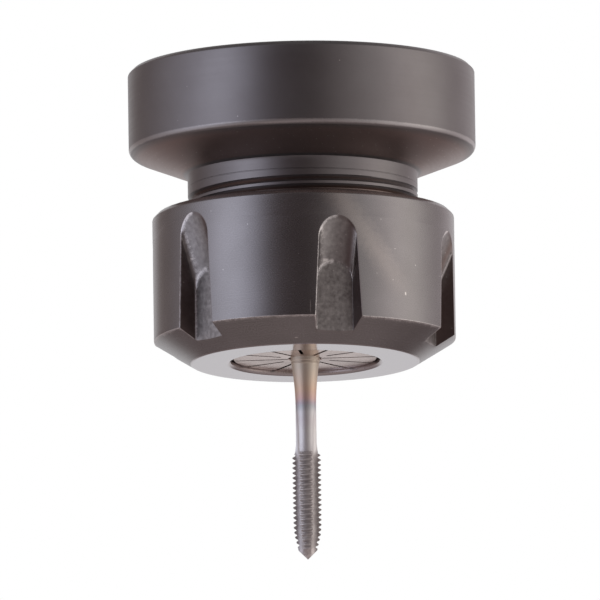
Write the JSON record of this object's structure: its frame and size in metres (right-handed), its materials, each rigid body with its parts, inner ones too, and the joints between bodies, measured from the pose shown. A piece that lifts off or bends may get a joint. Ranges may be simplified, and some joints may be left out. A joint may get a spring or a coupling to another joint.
{
  "type": "tap collet chuck",
  "caption": "Flanged collet chuck holding a machine tap in a slotted collet, clamped by a screwed nut with wrench slots.",
  "frame": {"origin": "centre of the flange's rear face, where the chuck is bolted on", "axes": "+Z out of the rear face along the common axis, the tap points along -Z; the four bolt holes lie at 45 degrees between X and Y"},
  "size_m": [0.0484, 0.0482, 0.069],
  "materials": {
    "blackened_steel": "black oxide, satin, front face ground bright",
    "spring_steel": "fine ground and polished",
    "tool_steel": "bright ground, heat tinted at the neck"
  },
  "bodies": {
    "body": {"chuck_body": "blackened_steel"},
    "collet": {"tap_collet": "spring_steel"},
    "nut": {"clamping_nut": "blackened_steel"},
    "tap": {"tap": "tool_steel"}
  },
  "joints": [
    {"name": "collet_slide", "type": "slide", "parent": "body", "child": "collet", "axis": [0, 0, -1], "range_m": [0, 0.0105]},
    {"name": "nut_turn", "type": "hinge", "parent": "collet", "child": "nut", "pos_m": [0, 0, -0.0313], "axis": [0, 0, -1], "range_deg": [0, 2520]},
    {"name": "tap_slide", "type": "slide", "parent": "collet", "child": "tap", "axis": [0, 0, -1], "range_m": [0, 0.035]}
  ],
  "couplings": [
    {"joint": "collet_slide", "follows": "nut_turn", "m_per_rad": 0.00023873}
  ]
}
